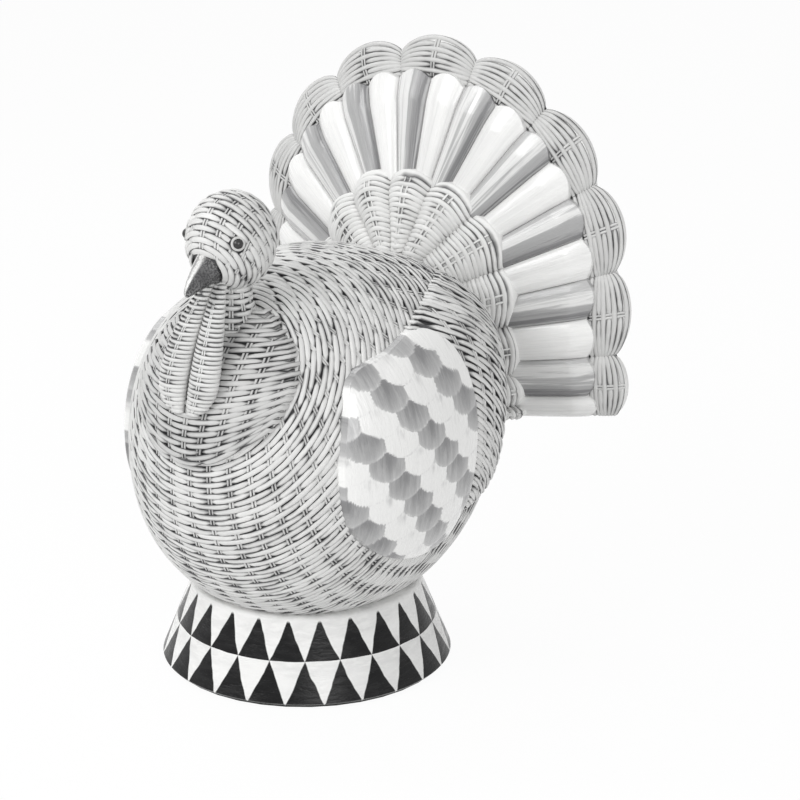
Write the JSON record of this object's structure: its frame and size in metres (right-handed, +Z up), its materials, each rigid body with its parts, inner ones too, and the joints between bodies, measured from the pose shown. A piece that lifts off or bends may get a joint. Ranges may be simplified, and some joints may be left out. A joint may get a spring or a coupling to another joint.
{
  "type": "turkey figure",
  "caption": "Free-standing turkey figure with a plump wicker-textured body, a fanned tail of glossy feathers, raised wing panels and a round tapered pedestal, for a table display.",
  "frame": {"origin": "centre of the felt pad's underside, on the pedestal's axis", "axes": "+Z up along the pedestal's axis; the beak points along -Y and the bird's left side is +X"},
  "size_m": [0.259, 0.2333, 0.3302],
  "materials": {
    "wicker": "cast resin moulded as woven wicker, washed pale grey, satin",
    "white_paint": "hand-brushed white enamel, glossy",
    "grey_paint": "hand-brushed streaky grey enamel, glossy",
    "base_paint": "black and white hand-brushed enamel, glossy",
    "beak": "dark mottled pewter paint",
    "eye": "dark glossy bead",
    "steel": "zinc plated",
    "dowel": "plain beech",
    "hardboard": "plain hardboard",
    "felt": "felt"
  },
  "bodies": {
    "root": {"base_pedestal": "base_paint", "base_plug": "hardboard", "base_felt_pad": "felt", "base_bolt": "steel", "base_washer": "steel", "body_shell": "wicker", "neck_crop": "wicker", "neck_pin": "steel", "head": "wicker", "eye_left": "eye", "eye_right": "eye", "beak": "beak", "wattle_left": "wicker", "wattle_right": "wicker", "wing_left": "wicker", "wing_right": "wicker", "wing_panel_left": "white_paint", "wing_panel_right": "white_paint", "tail_back": "wicker", "tail_dowel_left": "dowel", "tail_dowel_right": "dowel", "tail_covert_01": "wicker", "tail_covert_02": "wicker", "tail_covert_03": "wicker", "tail_covert_04": "wicker", "tail_covert_05": "wicker", "tail_covert_06": "wicker", "tail_covert_07": "wicker", "tail_covert_08": "wicker", "tail_covert_09": "wicker", "tail_covert_10": "wicker", "tail_covert_11": "wicker", "tail_covert_12": "wicker", "tail_covert_13": "wicker", "tail_feather_01": "grey_paint", "tail_feather_02": "white_paint", "tail_feather_03": "grey_paint", "tail_feather_04": "white_paint", "tail_feather_05": "grey_paint", "tail_feather_06": "white_paint", "tail_feather_07": "grey_paint", "tail_feather_08": "white_paint", "tail_feather_09": "grey_paint", "tail_feather_10": "white_paint", "tail_feather_11": "grey_paint", "tail_feather_12": "white_paint", "tail_feather_13": "grey_paint", "tail_feather_14": "white_paint", "tail_feather_15": "grey_paint", "tail_feather_16": "white_paint", "tail_feather_17": "grey_paint", "tail_feather_18": "white_paint", "tail_feather_19": "grey_paint", "tail_feather_20": "white_paint", "tail_feather_21": "grey_paint", "tail_feather_22": "white_paint"}
  },
  "joints": []
}
